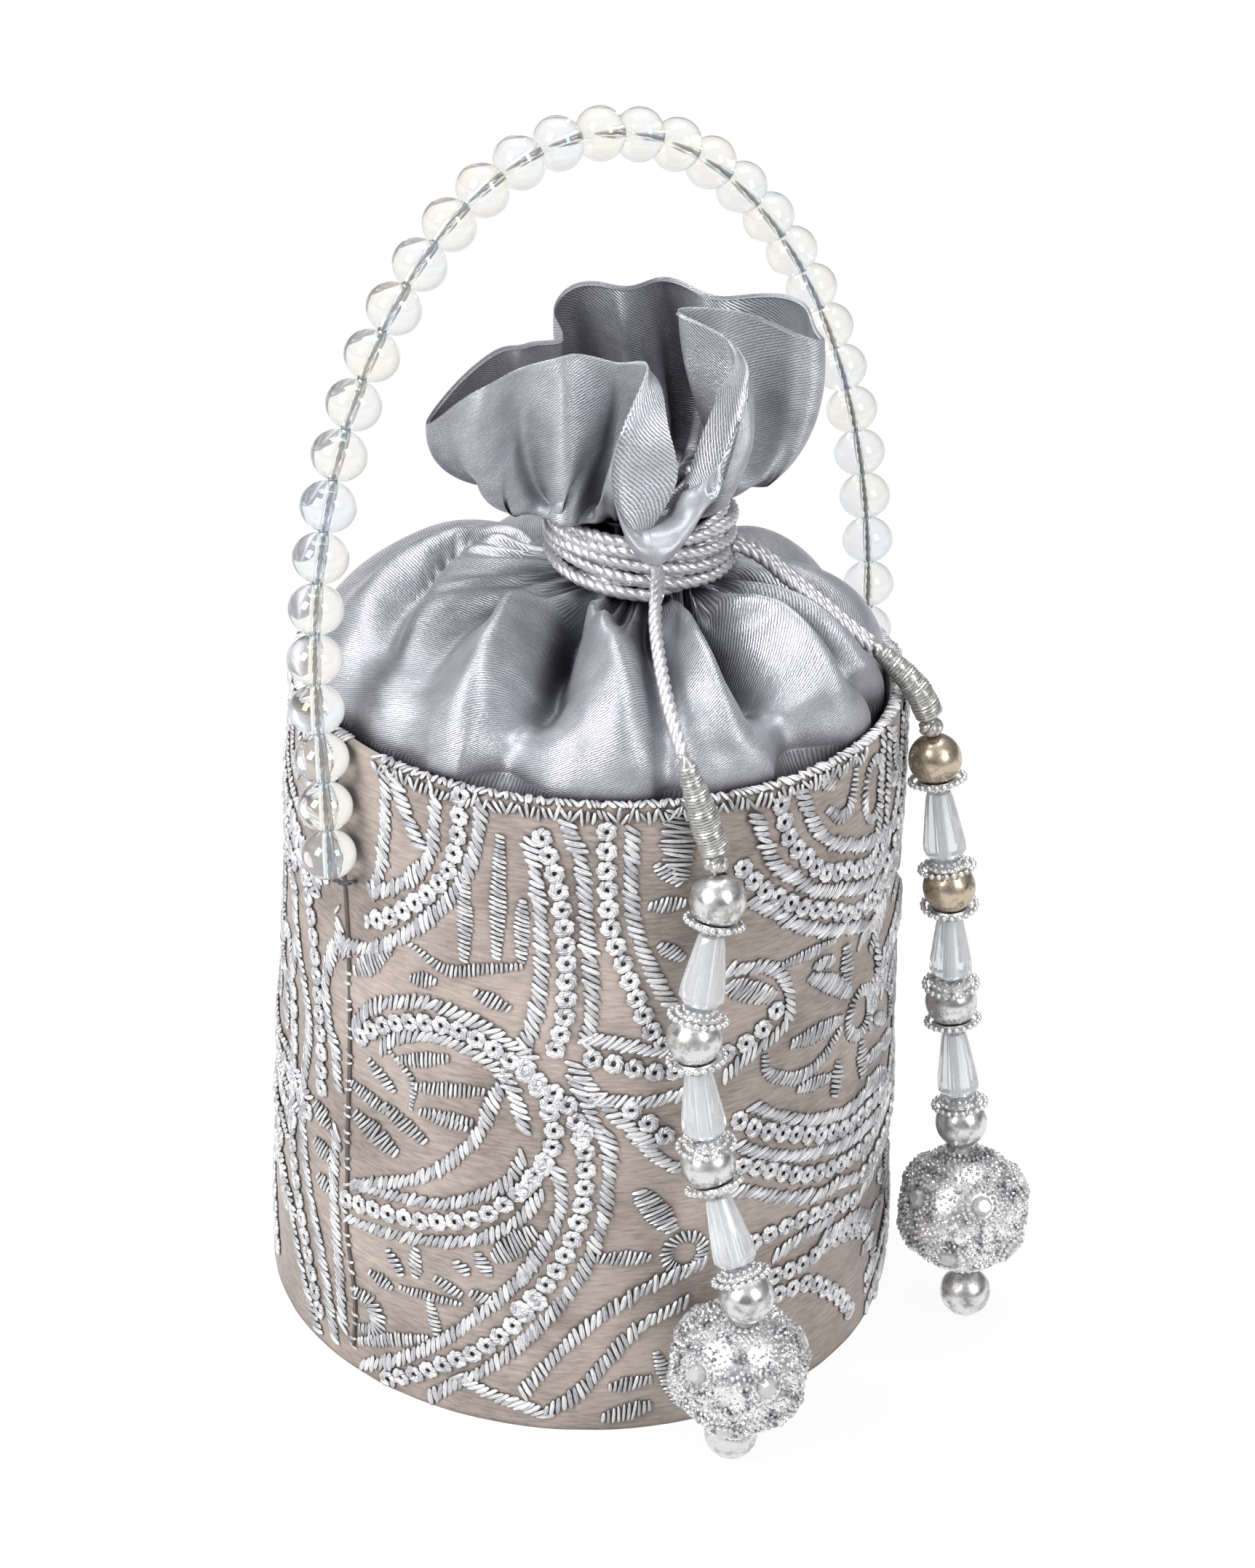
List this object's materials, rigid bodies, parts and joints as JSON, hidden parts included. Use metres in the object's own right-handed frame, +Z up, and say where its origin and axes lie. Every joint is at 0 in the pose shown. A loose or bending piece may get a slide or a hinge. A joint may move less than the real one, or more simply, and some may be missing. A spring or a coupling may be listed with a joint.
{
  "type": "potli bag",
  "caption": "Small drum-shaped drawstring pouch of embroidered cloth with a gathered satin top, a tied cord neck, an arched bead handle and two beaded tassels.",
  "frame": {"origin": "centre of the base, on the table", "axes": "+Z up, +X to the bag's right seen from the front, -Y towards its front"},
  "size_m": [0.1505, 0.1458, 0.2314],
  "materials": {
    "embroidered_satin": "taupe cloth with silver thread embroidery",
    "grey_satin": "silver-grey satin weave",
    "clear_glass": "clear glass with an iridescent coating",
    "silver_thread": "metallic silver thread",
    "silver_bead": "silver-coated",
    "silver_cap": "silver-coated, granulated",
    "clear_cone": "clear, fluted",
    "stone_ball": "silver grains and small glass stones"
  },
  "bodies": {
    "bag": {"base_disc": "embroidered_satin", "body_wall": "embroidered_satin", "front_cord": "silver_thread", "neck_band": "silver_thread", "right_cord_1": "silver_thread", "right_cord_2": "silver_thread", "satin_top": "grey_satin"},
    "handle": {"bead_handle": "clear_glass"},
    "front_tassel": {"front_ball": "stone_ball", "front_cap_1": "silver_cap", "front_cap_2": "silver_cap", "front_cap_3": "silver_cap", "front_cap_4": "silver_cap", "front_cap_5": "silver_cap", "front_cap_6": "silver_cap", "front_cone_1": "clear_cone", "front_cone_2": "clear_cone", "front_cone_3": "clear_cone", "front_knot": "silver_thread", "front_silver_bead_1": "silver_bead", "front_silver_bead_2": "silver_bead", "front_silver_bead_3": "silver_bead", "front_silver_bead_4": "silver_bead", "front_silver_bead_5": "silver_bead", "front_wrapped_end": "silver_thread"},
    "right_tassel": {"right_ball": "stone_ball", "right_cap_1": "silver_cap", "right_cap_2": "silver_cap", "right_cap_3": "silver_cap", "right_cap_4": "silver_cap", "right_cap_5": "silver_cap", "right_cap_6": "silver_cap", "right_cone_1": "clear_cone", "right_cone_2": "clear_cone", "right_cone_3": "clear_cone", "right_knot": "silver_thread", "right_silver_bead_1": "silver_bead", "right_silver_bead_2": "silver_bead", "right_silver_bead_3": "silver_bead", "right_silver_bead_4": "silver_bead", "right_silver_bead_5": "silver_bead", "right_wrapped_end": "silver_thread"}
  },
  "joints": [
    {"name": "handle_swing", "type": "hinge", "parent": "bag", "child": "handle", "pos_m": [0.00257, -0.00306, 0.105], "axis": [0.766, 0.6428, 0], "range_deg": [-75, 65]},
    {"name": "front_tassel_swing", "type": "hinge", "parent": "bag", "child": "front_tassel", "pos_m": [0.0161, -0.0582, 0.1409], "axis": [-0.9638, -0.2668, 0], "range_deg": [0, 70]},
    {"name": "right_tassel_swing", "type": "hinge", "parent": "bag", "child": "right_tassel", "pos_m": [0.0512, -0.0085, 0.1401], "axis": [-0.1638, -0.9865, 0], "range_deg": [0, 70]}
  ]
}
